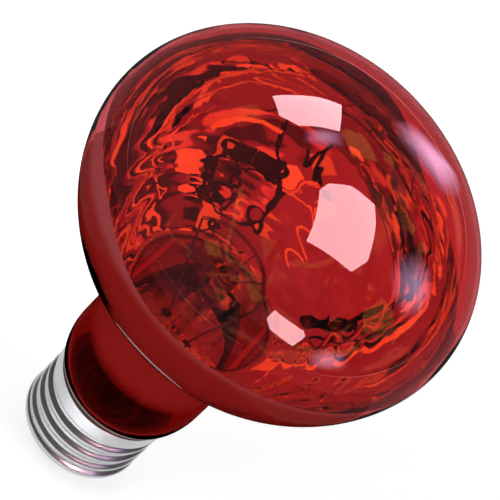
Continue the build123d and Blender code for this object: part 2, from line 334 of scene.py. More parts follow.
def mirror_coating(sizes):
    """Aluminium vapour inside the bowl: bright, fine orange-peel, faint haze, fading out in the neck."""
    material, tree, where = start_material("vapour_aluminium_mirror")
    peel = grain(tree, where, step=7.0, detail=2.0)
    haze = grain(tree, where, step=3.0, detail=4.0)
    height = add(tree, "ShaderNodeSeparateXYZ", {"Vector": where}).outputs["Z"]
    patchy = add(tree, "ShaderNodeMath", {0: haze, 1: PATCHY, 2: height}, operation="MULTIPLY_ADD").outputs[0]
    foot = sizes.coat_foot
    coat = add(
        tree,
        "ShaderNodeMapRange",
        {"Value": patchy, "From Min": foot, "From Max": foot + sizes.coat_fade},
        interpolation_type="SMOOTHSTEP",
    ).outputs["Result"]
    bare = add(tree, "ShaderNodeMath", {0: 1.0, 1: coat}, operation="SUBTRACT").outputs[0]
    colours = {"Factor": haze, 6: srgb("#F2EFEC"), 7: srgb("#E2DEDA")}
    silver = add(tree, "ShaderNodeMix", colours, data_type="RGBA").outputs[2]
    colours = {"Factor": coat, 6: (*sizes.tint, 1.0), 7: silver}
    shade = add(tree, "ShaderNodeMix", colours, data_type="RGBA").outputs[2]
    bump = add(tree, "ShaderNodeBump", {"Height": peel, "Distance": 0.06 * MM, "Strength": 1.0})
    shader = add(
        tree,
        "ShaderNodeBsdfPrincipled",
        {
            "Base Color": shade,
            "Metallic": coat,
            "Transmission Weight": bare,
            "Roughness": 0.03,
            "Normal": bump.outputs["Normal"],
        },
    )
    end_material(tree, shader)
    return material


def cap_metal(sizes):
    """Rolled aluminium: soft satin with duller patches, and fine rolling lines round the cap.

    The lines are drawn coarser than real ones, so that they can show."""
    material, tree, where = start_material("rolled_aluminium")
    lines = grain(tree, where, step=0.12, detail=2.0, stretch=(60, 60, 1))
    patches = grain(tree, where, step=3.0, detail=4.0)
    share = add(tree, "ShaderNodeMapRange", {"Value": patches, "To Min": 0.0, "To Max": 0.5})
    colours = {"Factor": share.outputs["Result"], 6: (*sizes.metal, 1.0), 7: (*sizes.dulled, 1.0)}
    shade = add(tree, "ShaderNodeMix", colours, data_type="RGBA").outputs[2]
    dull = add(tree, "ShaderNodeMapRange", {"Value": patches, "To Min": 0.24, "To Max": 0.38})
    bump = add(tree, "ShaderNodeBump", {"Height": lines, "Distance": 0.01 * MM, "Strength": 1.0})
    shader = add(
        tree,
        "ShaderNodeBsdfPrincipled",
        {
            "Base Color": shade,
            "Metallic": 1.0,
            "Roughness": dull.outputs["Result"],
            "Normal": bump.outputs["Normal"],
        },
    )
    end_material(tree, shader)
    return material


def clear_glass():
    """Lead glass of the stem: clear, with the faint drawn waves of tubing."""
    material, tree, where = start_material("clear_stem_glass")
    waves = grain(tree, where, step=3.0, detail=1.0, stretch=(1, 1, 4))
    finish = {"Roughness": 0.02, "IOR": 1.55, "Transmission Weight": 1.0}
    end_material(tree, mottled(tree, waves, "#F2F6F2", "#E2EAE4", relief=0.05, finish=finish))
    return material


def plain_metal(name, light, dark, rough, step, relief, stretch=(1, 1, 1)):
    """A metal with a fine relief, whose colour and roughness are mottled in steps of so many millimetres."""
    material, tree, where = start_material(name)
    mottle = grain(tree, where, step, detail=4.0, stretch=stretch)
    ends = (rough * (1 - ROUGH_SWING), rough * (1 + ROUGH_SWING))
    end_material(tree, mottled(tree, mottle, light, dark, relief, {"Metallic": 1.0}, ends))
    return material


def cement():
    """Baked capping cement: pale brown, dull, with grains and pores."""
    material, tree, where = start_material("capping_cement")
    grains = grain(tree, where, step=0.5, detail=5.0)
    end_material(tree, mottled(tree, grains, "#B9A88E", "#8E7C64", relief=0.15, finish={"Roughness": 0.9}))
    return material


def black_glass():
    """Pressed black insulator glass: glossy, with the slow flow marks of pressing."""
    material, tree, where = start_material("black_insulator_glass")
    flow = grain(tree, where, step=2.5, detail=2.0)
    shader = mottled(tree, flow, "#17141C", "#0C0B10", relief=0.12, finish={"IOR": 1.6}, rough=(0.08, 0.2))
    end_material(tree, shader)
    return material


RINGS = {"face": 48, "bowl": 72, "neck": 24, "shoulder": 16, "tail": 6, "blend": 8}  # steps along the glass
BLEND_SHARE = 0.6  # how much longer the blend from bowl to neck is on the inside, as a share of the inset
COATED = 1  # material slot of the mirror coating

# Shares of the height from the throat to the coating's edge: where the inner wall's unevenness is full,
# where it starts to fade and is gone, and where the throat's rings are full and gone
UNEVEN = {"full": 1 / 6, "fading": 0.95, "gone": 1.15, "rings_full": 5 / 44, "rings_gone": 25 / 44}
BEND = 3.0  # radians by which slow bends shift the throat's rings
BEND_SIZE = 0.7  # size of those bends as a share of the slow waves' size
BEND_PLACE = Vector((7.1, 3.3, 1.9))  # keeps the bends apart from the waves
EDGE_ROOM = 30 * MM  # length of wall on each side of the coating's edge that makes room for its drift

# Turns about Z in degrees where the coating's edge starts to rise, is at its far height, starts down to its
# left height, reaches it, starts to fall, and is back at its near height
COAT_TURNS = (66, 100, 130, 160, 225, 265)


def rounded(points, index, reach):
    """The line with its corner at index turned in a smooth curve that starts and ends reach away."""
    corner = Vector(points[index])
    first = index
    while (Vector(points[first]) - corner).length < reach:
        first -= 1
    last = index
    while (Vector(points[last]) - corner).length < reach:
        last += 1
    start = corner + (Vector(points[first]) - corner).normalized() * reach
    end = corner + (Vector(points[last]) - corner).normalized() * reach
    curve = []
    for step in range(RINGS["blend"] + 1):
        t = step / RINGS["blend"]
        curve.append(tuple((1 - t) ** 2 * start + 2 * t * (1 - t) * corner + t * t * end))
    return points[: first + 1] + curve + points[last:]


def glass_line(sizes, inset):
    """(radius, height) along one glass surface, from the front pole to the tail's end."""
    radius = sizes.globe - inset
    depth = sizes.bowl - inset
    face = []
    for step in range(RINGS["face"]):
        angle = math.pi / 2 * (1 - step / RINGS["face"])
        face.append((radius * math.cos(angle), sizes.equator + (sizes.face - inset) * math.sin(angle)))
    face[0] = (0.0, face[0][1])
    stop = math.acos(((sizes.neck - inset) / radius) ** (sizes.power / 2))
    bowl = []
    for step in range(RINGS["bowl"] + 1):
        angle = stop * step / RINGS["bowl"]
        r = radius * math.cos(angle) ** (2 / sizes.power)
        bowl.append((r, sizes.equator - depth * math.sin(angle) ** (2 / sizes.power)))
    corner = len(face) + len(bowl) - 1
    top = bowl[-1][1]
    neck = []
    for step in range(1, RINGS["neck"] + 1):
        neck.append((sizes.neck - inset, top + (sizes.shoulder - top) * step / RINGS["neck"]))
    across = sizes.neck - sizes.seal
    down = sizes.shoulder_height - inset
    shoulder = []
    for step in range(1, RINGS["shoulder"] + 1):
        angle = math.pi / 2 * step / RINGS["shoulder"]
        height = sizes.shoulder - down * math.sin(angle)
        shoulder.append((sizes.seal - inset + across * math.cos(angle), height))
    foot = shoulder[-1][1]
    tail = []
    for step in range(1, RINGS["tail"] + 1):
        tail.append((sizes.seal - inset, foot + (sizes.seal_foot - foot) * step / RINGS["tail"]))
    return rounded(face + bowl + neck + shoulder + tail, corner, sizes.blend + inset * BLEND_SHARE)


def bulb_rows(sizes):
    """Rings of the bulb: down the outside, up the inside, with ripples in the inner bowl."""

    def plain(point):
        return lambda turn: point

    outer = glass_line(sizes, 0.0)
    inner = glass_line(sizes, sizes.wall)
    inner.reverse()

    def rippled(point, normal, along):
        """A place on the inner wall, moved by the slow waves and by the rings near the throat."""
        r0, z0 = point

        def row(turn):
            high = (z0 - sizes.throat) / (sizes.coat_top - sizes.throat)
            inside = between(high, 0, UNEVEN["full"]) * between(high, UNEVEN["gone"], UNEVEN["fading"])
            throat = between(high, UNEVEN["rings_gone"], UNEVEN["rings_full"])
            at = Vector((r0 * math.cos(turn), r0 * math.sin(turn), z0))
            slow = noise.noise(at / sizes.wave_step)
            bend = noise.noise(at / (sizes.wave_step * BEND_SIZE) + BEND_PLACE)
            ring = math.sin(2 * math.pi * along / sizes.ripple_step + BEND * bend)
            shift = inside * (sizes.wave * slow + sizes.ripple * throat * ring)
            return r0 + normal[0] * shift, z0 + normal[1] * shift

        return row

    reach = [0.0]
    for before, after in zip(inner, inner[1:]):
        reach.append(reach[-1] + math.dist(before, after))
    edge = min(
        (i for i in range(len(inner)) if inner[i][1] < sizes.equator),
        key=lambda i: abs(inner[i][1] - sizes.coat_top),
    )

    def drifted(index):
        """The coating's edge ring follows coat_rise, and the rings near it make room for it."""
        room = between(abs(reach[index] - reach[edge]), EDGE_ROOM, 0)

        def row(turn):
            at = reach[index] + coat_rise(sizes, turn) * room
            low = max(0, min(bisect.bisect_right(reach, at) - 1, len(reach) - 2))
            share = (at - reach[low]) / (reach[low + 1] - reach[low])
            first, second = Vector(inner[low]), Vector(inner[low + 1])
            run = (second - first).normalized()
            return rippled(first.lerp(second, share), (-run.y, run.x), at)(turn)

        return row

    rows = [plain(point) for point in outer]
    for index, point in enumerate(inner):
        rows.append(plain(point) if index == len(inner) - 1 or point[1] < sizes.throat else drifted(index))
    coated = [len(outer) + i for i in range(edge) if inner[i][1] > sizes.coat_foot]
    return rows, coated


def coat_rise(sizes, turn):
    """How far the mirror coating's edge stands above its lowest place, round the bulb."""
    rise, far, drop, left, fall, near = COAT_TURNS
    degrees = math.degrees(turn)
    height = sizes.coat_far - (sizes.coat_far - sizes.coat_left) * between(degrees, drop, left)
    return height * between(degrees, rise, far) * between(degrees, near, fall)


class HEATLAMP_OT_bulb(bpy.types.Operator):
    """Blown bulb of stained glass with the mirror coating in its rear bowl"""

    bl_idname = "heatlamp.bulb"
    bl_label = "Bulb"

    def execute(self, context):
        sizes = context.scene.heat_glass
        rows, coated = bulb_rows(sizes)
        verts, faces, owners = turned(rows, sizes.segments, False)
        mirrored = set(coated)
        slots = [COATED if index in mirrored else 0 for index in owners]
        finishes = [red_glass(sizes), mirror_coating(sizes)]
        bulb = new_object("bulb_glass", verts, faces, finishes, slots)
        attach(bulb, "root")
        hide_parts("glass_bulb")
        return {"FINISHED"}


ROLL_RINGS = 12  # steps round the lower roll
HEIGHT_RINGS = 100  # steps from the roll up to the rim
RIM_RINGS = 6  # steps over the rim
ROLL_GAP = 0.02 * MM  # from the roll's widest plane up to the first ring of the thread


def cap_outline(sizes, height, turn):
    """Outer radius of the shell at a height and a turn about Z."""
    crest = (height - sizes.start) / sizes.pitch - turn / (2 * math.pi)
    thread = sizes.root + (sizes.crest - sizes.root) * (0.5 + 0.5 * math.cos(2 * math.pi * crest))
    full = sizes.radius - sizes.root
    skirt_foot = sizes.rim - sizes.skirt
    skirt = sizes.root + full * between(height, skirt_foot - sizes.slope, skirt_foot)
    roll = sizes.root + full * between(height, sizes.roll + sizes.roll_fade, sizes.roll)
    return min(smooth_max(smooth_max(thread, skirt, sizes.ease), roll, sizes.ease), sizes.radius)


def cap_rows(sizes):
    """Rings of the rolled shell: round the lower roll, up the outside, over the rim and down the inside."""

    def ring(height, inset):
        return lambda turn: (cap_outline(sizes, height, turn) - inset, height)

    def roll(angle, inset):
        across = sizes.radius - sizes.lip - inset
        down = sizes.roll_drop - inset
        point = (sizes.lip + across * math.cos(angle), sizes.roll - down * math.sin(angle))
        return lambda turn: point

    low = sizes.roll + ROLL_GAP
    edge = sizes.sheet / 2
    high = sizes.rim - edge
    rows = []
    for step in range(ROLL_RINGS + 1):
        rows.append(roll(math.pi / 2 * step / ROLL_RINGS, sizes.sheet))
    for step in range(ROLL_RINGS + 1):
        rows.append(roll(math.pi / 2 * (1 - step / ROLL_RINGS), 0.0))
    for step in range(1, HEIGHT_RINGS + 1):
        rows.append(ring(low + (high - low) * step / HEIGHT_RINGS, 0.0))
    for step in range(1, RIM_RINGS):
        angle = math.pi * step / RIM_RINGS
        rows.append(ring(high + edge * math.sin(angle), edge - edge * math.cos(angle)))
    for step in range(HEIGHT_RINGS):
        rows.append(ring(high - (high - low) * step / HEIGHT_RINGS, sizes.sheet))
    return rows


class HEATLAMP_OT_cap(bpy.types.Operator):
    """Screw shell of rolled sheet with its rounded thread"""

    bl_idname = "heatlamp.cap"
    bl_label = "Cap"

    def execute(self, context):
        sizes = context.scene.heat_cap
        verts, faces, _ = turned(cap_rows(sizes), sizes.segments, True)
        faces = [tuple(reversed(face)) for face in faces]
        cap = new_object("cap_thread", verts, faces, [cap_metal(sizes)])
        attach(cap, "root")
        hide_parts("cap_shell")
        return {"FINISHED"}


ARC_POINTS = 64  # points along the filament's bow
TURN_POINTS = 14.0  # points in one turn of the coil
WIRE_SIDES = 8  # flats round the wire


def coil_tree(material):
    """Node tree that winds a wire round an arc through three points."""
    tree = bpy.data.node_groups.new("wound_coil", "GeometryNodeTree")
    tree.interface.new_socket("Geometry", in_out="OUTPUT", socket_type="NodeSocketGeometry")
    sockets = {}
    for name in ("Coil Radius", "Wire Radius", "Coil Step"):
        sockets[name] = tree.interface.new_socket(name, in_out="INPUT", socket_type="NodeSocketFloat")
    for name in ("Start", "Middle", "End"):
        sockets[name] = tree.interface.new_socket(name, in_out="INPUT", socket_type="NodeSocketVector")
    given = add(tree, "NodeGroupInput").outputs
    arc = add(
        tree,
        "GeometryNodeCurveArc",
        {"Resolution": ARC_POINTS, "Start": given["Start"], "Middle": given["Middle"], "End": given["End"]},
        mode="POINTS",
    )
    reach = add(tree, "GeometryNodeCurveLength", {"Curve": arc.outputs["Curve"]}).outputs["Length"]
    turns = add(tree, "ShaderNodeMath", {0: reach, 1: given["Coil Step"]}, operation="DIVIDE").outputs[0]
    count = add(tree, "ShaderNodeMath", {0: turns, 1: TURN_POINTS}, operation="MULTIPLY").outputs[0]
    fine = add(tree, "GeometryNodeResampleCurve", {"Curve": arc.outputs["Curve"], "Count": count})
    along = add(tree, "GeometryNodeSplineParameter").outputs["Factor"]
    whole = add(tree, "ShaderNodeMath", {0: turns, 1: 2 * math.pi}, operation="MULTIPLY").outputs[0]
    angle = add(tree, "ShaderNodeMath", {0: along, 1: whole}, operation="MULTIPLY").outputs[0]
    tangent = add(tree, "GeometryNodeInputTangent").outputs[0]
    side = add(tree, "GeometryNodeInputNormal").outputs[0]
    across = add(tree, "ShaderNodeVectorMath", {0: tangent, 1: side}, operation="CROSS_PRODUCT").outputs[0]
    cosine = add(tree, "ShaderNodeMath", {0: angle}, operation="COSINE").outputs[0]
    sine = add(tree, "ShaderNodeMath", {0: angle}, operation="SINE").outputs[0]
    first = add(tree, "ShaderNodeVectorMath", {0: side, "Scale": cosine}, operation="SCALE").outputs[0]
    second = add(tree, "ShaderNodeVectorMath", {0: across, "Scale": sine}, operation="SCALE").outputs[0]
    out = add(tree, "ShaderNodeVectorMath", {0: first, 1: second}, operation="ADD").outputs[0]
    off = add(tree, "ShaderNodeVectorMath", {0: out, "Scale": given["Coil Radius"]}, operation="SCALE")
    shift = {"Geometry": fine.outputs["Curve"], "Offset": off.outputs[0]}
    wound = add(tree, "GeometryNodeSetPosition", shift)
    wire = {"Resolution": WIRE_SIDES, "Radius": given["Wire Radius"]}
    section = add(tree, "GeometryNodeCurvePrimitiveCircle", wire)
    solid = add(
        tree,
        "GeometryNodeCurveToMesh",
        {"Curve": wound.outputs["Geometry"], "Profile Curve": section.outputs["Curve"], "Fill Caps": True},
    )
    smooth = add(tree, "GeometryNodeSetShadeSmooth", {"Geometry": solid.outputs["Mesh"]})
    real = add(tree, "GeometryNodeRealizeInstances", {"Geometry": smooth.outputs["Geometry"]})
    ready = add(tree, "GeometryNodeSetMaterial", {"Geometry": real.outputs["Geometry"], "Material": material})
    add(tree, "NodeGroupOutput", {"Geometry": ready.outputs["Geometry"]})
    return tree, sockets


def grown(name, tree, sockets, values, material):
    """Plain mesh object from a node tree with its inputs set."""
    seed = bpy.data.objects.new(name, bpy.data.meshes.new(name + "_seed"))
    bpy.context.scene.collection.objects.link(seed)
    modifier = seed.modifiers.new("grow", "NODES")
    modifier.node_group = tree
    for key, value in values.items():
        modifier[sockets[key].identifier] = value
    depsgraph = bpy.context.evaluated_depsgraph_get()
    mesh = bpy.data.meshes.new_from_object(seed.evaluated_get(depsgraph), depsgraph=depsgraph)
    seed.modifiers.remove(modifier)
    seed.data = mesh
    if not mesh.materials:
        mesh.materials.append(material)
    if not mesh.polygons:
        raise RuntimeError(name + " came out empty")
    return seed


class HEATLAMP_OT_filament(bpy.types.Operator):
    """Wound tungsten filament between the lead tips"""

    bl_idname = "heatlamp.filament"
    bl_label = "Filament"

    def execute(self, context):
        sizes = context.scene.heat_coil
        # Drawn tungsten: dark grey, half dull
        material = plain_metal("drawn_tungsten", "#8C8A86", "#5F5D5A", rough=0.35, step=0.4, relief=0.01)
        tree, sockets = coil_tree(material)
        values = {
            "Coil Radius": sizes.radius,
            "Wire Radius": sizes.wire,
            "Coil Step": sizes.step,
            "Start": tuple(sizes.start),
            "Middle": tuple(sizes.middle),
            "End": tuple(sizes.end),
        }
        coil = grown("filament_coil", tree, sockets, values, material)
        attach(coil, "root")
        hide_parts("filament")
        return {"FINISHED"}


class HEATLAMP_OT_inner(bpy.types.Operator):
    """Materials of the pieces that keep their shape: stem, shield, wires, cement, insulator and contact"""

    bl_idname = "heatlamp.inner"
    bl_label = "Inner Pieces"

    def execute(self, context):
        # Drawn nickel wire: warm pale grey, with faint marks along it
        nickel = plain_metal(
            "nickel_wire", "#BDB8AE", "#8E897F", rough=0.3, step=0.6, relief=0.01, stretch=(1, 1, 4)
        )
        # Molybdenum wire: darker, even grey
        moly = plain_metal("molybdenum_wire", "#9A9A9E", "#6E6E73", rough=0.35, step=0.5, relief=0.01)
        # Soft solder: dull silver with the skin that it sets with
        solder = plain_metal("soft_solder", "#B4B5B6", "#8D8E90", rough=0.4, step=1.2, relief=0.08)
        # Bright aluminium sheet: mirror-like, with the shallow dents of stamping
        shield = plain_metal("shield_aluminium", "#DAD9D6", "#A9A8A4", rough=0.12, step=1.6, relief=0.10)
        # Pressed brass: yellow, slightly mottled
        brass = plain_metal("contact_brass", "#D9BE7A", "#B0924F", rough=0.3, step=1.5, relief=0.03)
        finishes = {
            "glass_stem": clear_glass(),
            "heat_shield": shield,
            "lead_side": nickel,
            "lead_centre": nickel,
            "support_a": moly,
            "support_b": moly,
            "support_c": moly,
            "cap_cement": cement(),
            "cap_insulator": black_glass(),
            "contact_plate": brass,
            "contact_solder": solder,
            "side_solder": solder,
        }
        for name, material in finishes.items():
            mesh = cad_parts[name].data
            if not mesh.materials:
                mesh.materials.append(material)
            for index in range(len(mesh.materials)):
                mesh.materials[index] = material
        return {"FINISHED"}


SENSOR = 36.0  # millimetres across the camera's sensor
CLIP = (0.01, 50.0)  # nearest and farthest metres that the camera sees

# To find where a line of sight meets the glass, in metres
GLOBE_CLEAR = 0.06  # the search starts so far in front of the widest plane's middle
SIGHT_STEP = 0.0005  # and goes on in steps of this
SIGHT_END = 1.0  # to this distance from the camera
HALVINGS = 30  # halvings of the last step
TINY = 1e-5  # to each side of a place, for the slope of the glass there

# To follow a line of sight in the mirror
BOUNCES = 8  # at most
CLEAR = 1e-4  # metres from the last place before it can meet the mirror again

PANE_REACH = 0.7  # metres from the dome to the panes and glows
FLAME_REACH = 0.5  # metres from the mirror to the small cards
STROKE_REACH = 0.45  # metres from the mirror to the ribbons
STROKE_STEP = 3.0  # pixels between the traced places of a ribbon
STROKE_JUMP = 0.12  # metres; a longer step means that the mirror's image breaks there
SAME_PLACE = 1e-5  # metres; a shorter step is left out
FADE_SHARES = (0.25, 0.5, 0.75, 1.0)  # rings of a card that fades out, as shares of the way to its corners

# Metres from the lamp's foot, for the soft lamps
KEY_PLACE = (-0.6, -0.7, 1.0)
FILL_PLACE = (0.8, -0.2, 0.7)
LAMP_AIM = (0, 0, 0.06)
LAMP_SIZE = 0.7

ROUND = 48  # segments of walls and floor
FLOOR_RADII = (0.2, 0.6, 2.0, 6.0)  # metres
FLOOR_LIFT = 0.56  # brightness that the camera sees on top of the lit paper
WORLD_LIGHT = 0.33  # brightness of the background as dull surfaces get it

# Studio walls: radius in metres, brightness far off and near, clutter, and the kind of ray that sees them
ROOMS = {
    "studio_walls": (2.5, 0.05, 0.10, 0.0, "glossy"),
    "studio_walls_in_glass": (2.6, 0.55, 0.98, 0.8, "transmission"),
}
ROOM_RINGS = 24  # steps from the top down to the floor
ROOM_SIDE = (-0.25, -0.35, 0.0)  # towards the brighter side
ROOM_RANGE = (-0.5, 0.7)  # along that, where the brightness starts to rise and where it is full
CLUTTER_STEP = 500.0  # millimetres across one thing in front of the walls
CLUTTER_DETAIL = 1.5
CLUTTER_STRETCH = (2.6, 2.6, 0.9)
CLUTTER_SIDE = (0.1, 0.35)  # shares of the radius along X where clutter starts and is full
CLUTTER_DARK = (0.42, 0.47)  # noise under which things are dark, and over which they aren't
CLUTTER_WARM = (0.55, 0.60)  # noise over which things start to be warm, and where they are so in full
CLUTTER_SHUT = 0.95  # how much light dark things take
CLUTTER_POWER = 4.0  # brightness of warm things

# Grey cards on the floor: half width, low and high end along Y and height in metres, brightness,
# the kind of ray that sees them, and whether only the cap shows them
FLOOR_CARDS = {
    "floor_card_low": (0.06, -0.09, 0.05, 0.0004, 0.95, "glossy", True),
    "floor_card_strip": (0.05, -0.040, -0.034, 0.0006, 4.0, "glossy", True),
    "floor_card_dark": (2.0, -2.0, 2.0, 0.0002, 0.04, "glossy", False),
    "floor_card_near": (0.25, -0.30, 0.03, 0.0008, 0.5, "transmission", False),
    "floor_card_behind": (0.10, 0.042, 0.12, 0.0012, 0.0, "transmission", False),
}

# Seen through red glass, the first two come out orange
ORANGE = srgb("#B4FF88")
YELLOW = srgb("#BEFF94")
WHITE = srgb("#FFFFFF")

# The pixels below are the photograph's, from its upper left corner.
# Bright panes that the dome's outer surface throws back, by their outline
PANES = {
    "pane_upper": [(271, 97), (318, 97), (342, 105), (340, 132), (298, 126), (279, 116)],
    "pane_middle": [
        (320, 190), (329, 183), (352, 186), (375, 205), (376, 226), (368, 261), (352, 271), (307, 240),
    ],
    "pane_lower": [(274, 310), (304, 331), (306, 337), (293, 347), (269, 329), (266, 318)],
}

# Softer lilac glows on the same surface, by their outline
GLOWS = {
    "glow_right": [
        (391, 120), (410, 122), (438, 148), (462, 185), (458, 200), (444, 198), (420, 168), (396, 138),
    ],
    "glow_oval": [
        (398, 255), (416, 250), (432, 270), (432, 298), (420, 318), (400, 318), (390, 295), (390, 270),
    ],
    "glow_low": [(306, 352), (325, 347), (349, 352), (349, 368), (325, 371), (306, 366)],
    "glow_high": [(303, 130), (325, 128), (345, 134), (345, 148), (325, 150), (303, 142)],
}

# Patches of the mirror, by their outline: colour, brightness, metres from the mirror to the card, pixels
PATCHES = {
    "loop_orange": (ORANGE, 6.0, 0.55, [
        (205, 138), (184, 148), (174, 168), (178, 186), (204, 200), (197, 180), (206, 158),
    ]),
}

# Small cards that the uneven mirror draws out to flames and streaks round a pixel:
# colour, brightness, half of the card's width in metres, pixel
FLAMES = {
    "flame_edge_high": (ORANGE, 7.0, 0.050, (104, 124)),
    "flame_edge_low": (ORANGE, 7.0, 0.050, (97, 185)),
    "flame_right_high": (YELLOW, 7.0, 0.012, (352, 150)),
    "flame_right_low": (ORANGE, 6.0, 0.012, (374, 180)),
    "flame_right_mid": (ORANGE, 6.0, 0.012, (362, 165)),
    "flame_top": (ORANGE, 4.0, 0.040, (150, 100)),
    "flame_arc": (ORANGE, 4.5, 0.035, (125, 240)),
    "flame_hub_left": (ORANGE, 4.5, 0.030, (165, 232)),
    "flame_fan": (ORANGE, 4.5, 0.035, (250, 368)),
    "flame_hub_low": (ORANGE, 4.5, 0.030, (290, 330)),
    "streak_top": (WHITE, 0.0, 0.030, (205, 78)),
    "streak_left": (WHITE, 0.0, 0.030, (125, 140)),
    "streak_end": (WHITE, 0.0, 0.025, (116, 185)),
    "loop_edge": (WHITE, 0.02, 0.012, (280, 190)),
    "loop_foot": (WHITE, 0.02, 0.015, (212, 186)),
    "shade_right": (WHITE, 0.02, 0.025, (392, 200)),
    "shade_low": (WHITE, 0.02, 0.025, (370, 345)),
}

# Ribbons that the mirror shows as lines through pixels: colour, brightness, half width in metres, pixels
STROKES = {
    "stroke_outer": (WHITE, 0.0, 0.012, [
        (232, 66), (185, 83), (147, 103), (125, 140), (113, 175), (127, 194),
    ]),
    "stroke_inner": (WHITE, 0.0, 0.008, [(226, 75), (190, 91), (156, 109), (134, 142), (122, 176)]),
    "loop_ring": (WHITE, 0.02, 0.010, [
        (256, 150), (236, 150), (214, 158), (203, 176), (208, 198), (218, 213), (240, 224), (260, 221),
        (275, 205), (280, 186), (273, 162), (256, 150),
    ]),
    "loop_wriggle": (WHITE, 0.02, 0.006, [(238, 150), (237, 168), (230, 184), (234, 200), (218, 213)]),
    "loop_line": (YELLOW, 5.0, 0.005, [
        (215, 107), (190, 119), (170, 135), (154, 156), (151, 171), (158, 186), (168, 192),
    ]),
    "loop_top": (ORANGE, 6.0, 0.012, [(212, 128), (236, 119), (262, 122), (284, 134)]),
    "wave_line": (WHITE, 0.0, 0.016, [(309, 318), (333, 331), (360, 318), (389, 306)]),
    "wave_line_right": (WHITE, 0.0, 0.010, [(389, 306), (408, 296), (422, 278)]),
    "wave_line_low": (WHITE, 0.0, 0.008, [(318, 338), (340, 346), (366, 338), (392, 330)]),
    "fan_outer": (ORANGE, 6.0, 0.008, [(262, 322), (272, 346), (262, 374)]),
    "fan_inner": (ORANGE, 5.0, 0.006, [(252, 330), (262, 350), (254, 372)]),
    "hub_ring_outer": (ORANGE, 5.0, 0.010, [(98, 240), (122, 231), (152, 228), (192, 237)]),
    "hub_ring_inner": (ORANGE, 5.0, 0.008, [(104, 252), (140, 243), (188, 249)]),
}

# Small cards that the heat shield shows, like the flames, but by a place on the shield in millimetres
SHIELD_SHOWS = {
    "shield_left": (ORANGE, 7.0, 0.030, (-6.0, -2.0)),
    "shield_near": (ORANGE, 7.0, 0.030, (1.0, -7.0)),
    "shield_right": (ORANGE, 7.0, 0.030, (6.0, -2.0)),
}

# What stands behind the clear rim and neck, on straight lines of sight:
# colour, brightness, metres from the camera, outline
BEHIND = {
    "rim_behind": (WHITE, 0.62, 0.72, [
        (250, 20), (330, 30), (400, 70), (450, 130), (480, 200), (485, 290), (440, 380), (404, 380),
        (430, 300), (410, 200), (390, 110), (340, 60), (290, 40), (250, 36),
    ]),
    "neck_behind": (WHITE, 0.02, 0.66, [
        (52, 300), (120, 300), (230, 380), (190, 470), (120, 470), (52, 400),
    ]),
    "rim_streak_a": (ORANGE, 5.5, 0.64, [(408, 178), (416, 176), (420, 198), (408, 198)]),
    "rim_streak_b": (YELLOW, 7.0, 0.64, [(409, 204), (414, 240), (412, 256), (408, 228)]),
    "rim_streak_c": (ORANGE, 5.5, 0.64, [(424, 178), (440, 210), (444, 244), (440, 244), (434, 212)]),
    "rim_streak_d": (ORANGE, 6.0, 0.64, [(450, 262), (466, 252), (464, 268), (452, 294), (447, 306)]),
    "rim_streak_e": (ORANGE, 5.0, 0.64, [(447, 240), (451, 268), (442, 300), (438, 304), (446, 272)]),
    "rim_streak_f": (ORANGE, 4.5, 0.64, [(436, 190), (452, 206), (455, 222), (446, 210)]),
    "rim_streak_g": (ORANGE, 4.5, 0.64, [(460, 180), (474, 206), (474, 216), (462, 196)]),
}


def picture_axes(studio):
    """Right, up and back of the picture in the lamp's frame, and its right and up before it is rolled."""
    right = Vector((1, 0, 0))
    up = Vector((0, math.sin(studio.tilt), math.cos(studio.tilt)))
    back = Vector((0, -math.cos(studio.tilt), math.sin(studio.tilt)))
    rolled_right = math.cos(studio.roll) * right + math.sin(studio.roll) * up
    rolled_up = -math.sin(studio.roll) * right + math.cos(studio.roll) * up
    return rolled_right, rolled_up, back, right, up


class Look:
    """The photograph's camera, and the lines of sight through its pixels."""

    def __init__(self, scene):
        studio = scene.heat_studio
        self.glass = scene.heat_glass
        self.focal = studio.focal
        self.right, self.up, self.back, right, up = picture_axes(studio)
        self.middle = Vector((0, 0, self.glass.equator))
        aim = self.middle - studio.aim_left * right - studio.aim_down * up
        self.eye = aim + studio.distance * self.back

    def ray(self, x, y):
        """Direction of the line of sight through a pixel."""
        across = (x - IMAGE / 2) / self.focal
        down = (y - IMAGE / 2) / self.focal
        return (self.right * across - self.up * down - self.back).normalized()

    def depth(self, point):
        """Below 1 inside the bulb's round part, above 1 outside."""
        r = math.hypot(point.x, point.y) / self.glass.globe
        z = point.z - self.glass.equator
        if z > 0:
            return r**2 + (z / self.glass.face) ** 2
        return r**self.glass.power + (-z / self.glass.bowl) ** self.glass.power

    def bounce(self, x, y):
        """Where the line of sight through a pixel meets the glass, and the direction it is thrown back."""
        ray = self.ray(x, y)
        far = (self.middle - self.eye).length - GLOBE_CLEAR
        while self.depth(self.eye + ray * far) > 1:
            far += SIGHT_STEP
            if far > SIGHT_END:
                raise RuntimeError("the line of sight misses the glass")
        near = far - SIGHT_STEP
        for _ in range(HALVINGS):
            middle = (near + far) / 2
            if self.depth(self.eye + ray * middle) > 1:
                near = middle
            else:
                far = middle
        point = self.eye + ray * far
        slope = Vector()
        for index, axis in enumerate(Matrix.Identity(3)):
            slope[index] = self.depth(point + TINY * axis) - self.depth(point - TINY * axis)
        slope.normalize()
        return point, ray - 2 * ray.dot(slope) * slope


